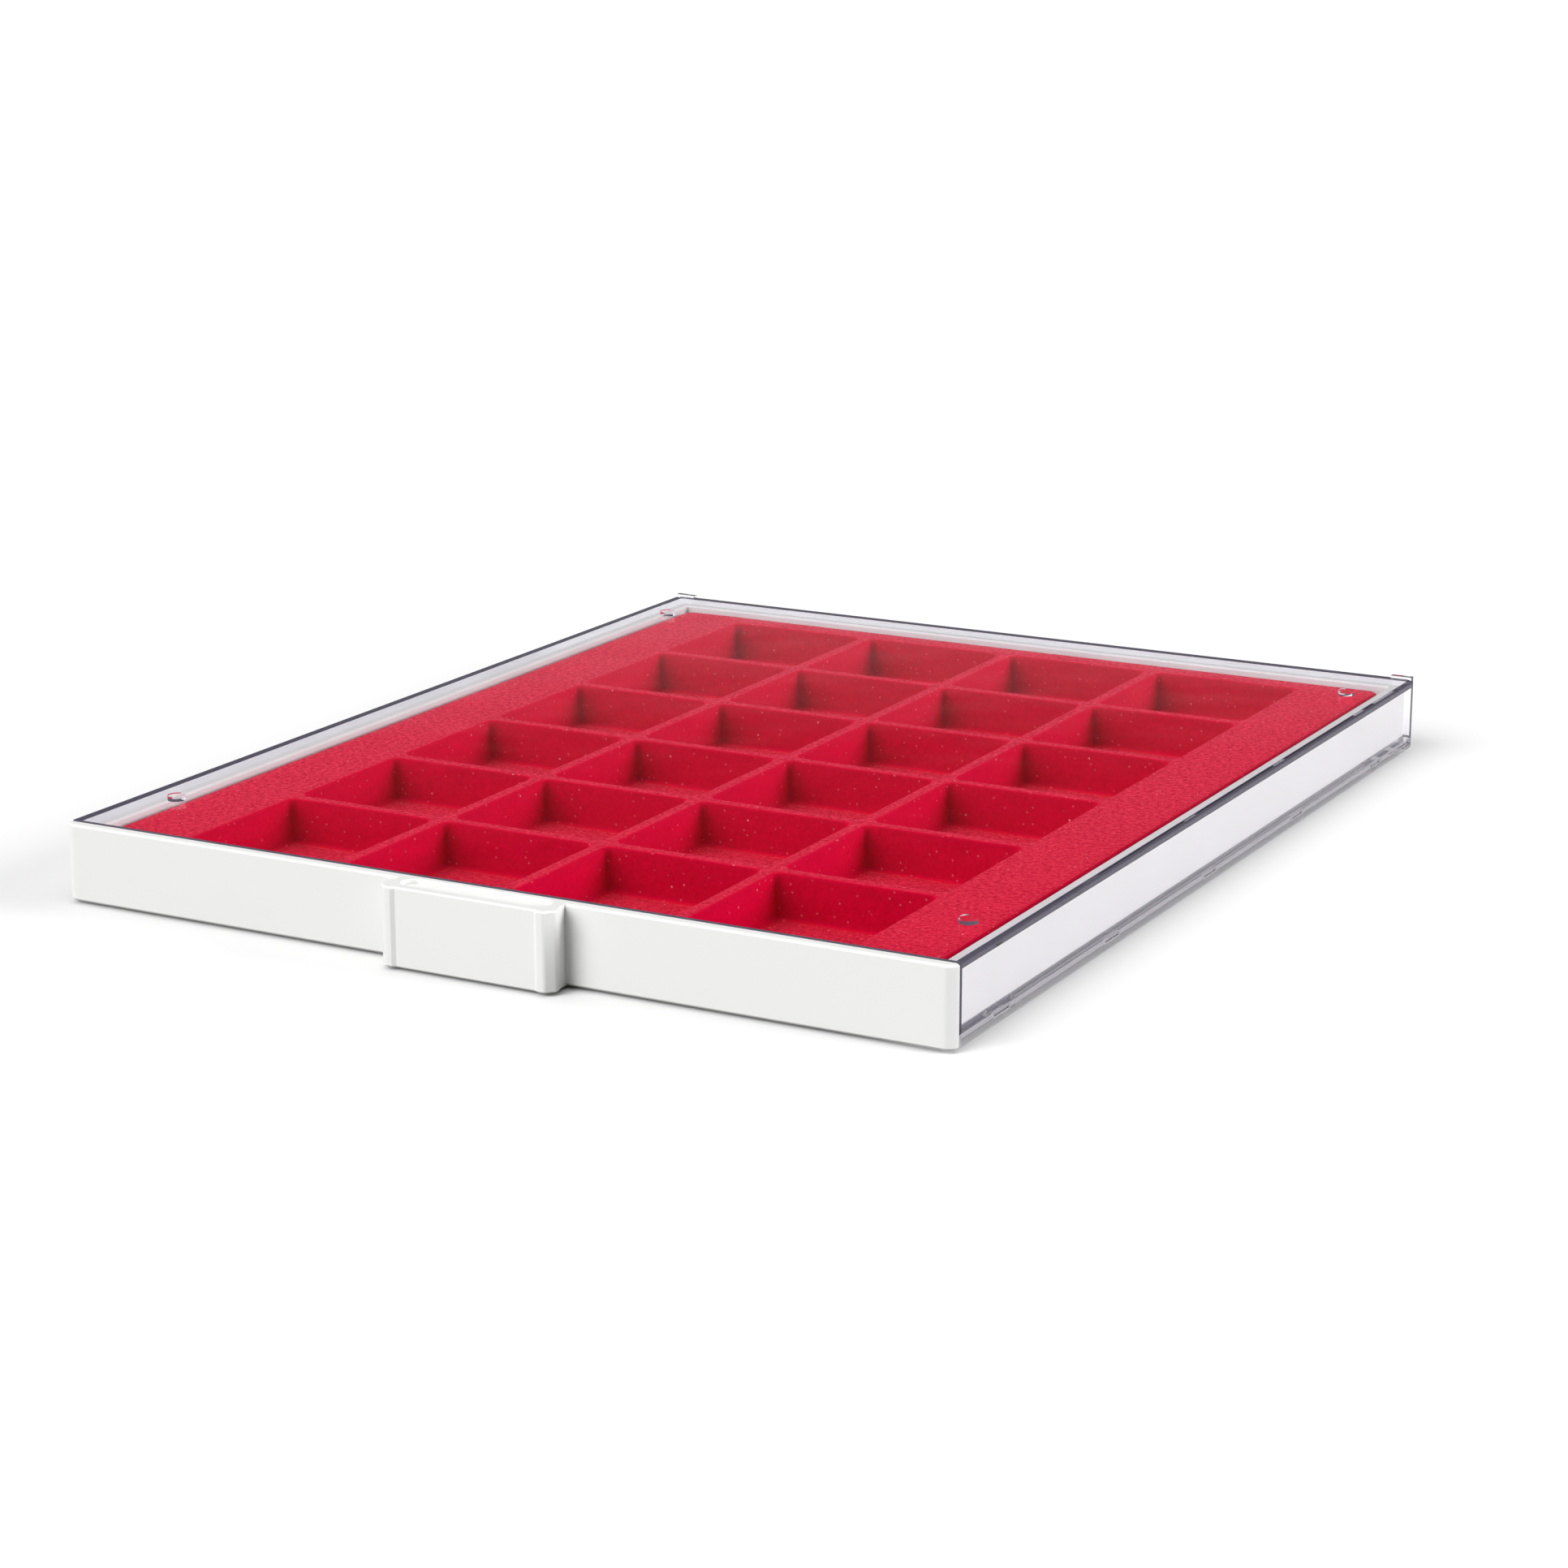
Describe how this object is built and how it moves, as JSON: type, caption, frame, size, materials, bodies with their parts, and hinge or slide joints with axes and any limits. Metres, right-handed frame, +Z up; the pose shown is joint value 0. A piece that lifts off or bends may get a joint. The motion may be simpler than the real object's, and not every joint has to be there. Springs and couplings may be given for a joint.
{
  "type": "coin storage box",
  "caption": "Flat stackable coin box: clear open-front housing with a pale slide-out drawer holding a red flocked sheet of square coin pockets.",
  "frame": {"origin": "bottom centre of the closed box, handle included", "axes": "+X to the right of someone facing the front, +Y from the handle to the rear wall, +Z up"},
  "size_m": [0.236, 0.3022, 0.0212],
  "materials": {
    "clear_housing": "clear polished polystyrene, faint lilac at its edges",
    "pale_drawer": "light grey moulded plastic, satin gloss",
    "red_flock": "fine red flock on a formed sheet"
  },
  "bodies": {
    "housing": {"housing_cover": "clear_housing", "housing_base": "clear_housing"},
    "drawer": {"drawer_tray": "pale_drawer", "coin_insert": "red_flock"}
  },
  "joints": [
    {"name": "drawer_slide", "type": "slide", "parent": "housing", "child": "drawer", "axis": [0, -1, 0], "range_m": [0, 0.28]}
  ]
}
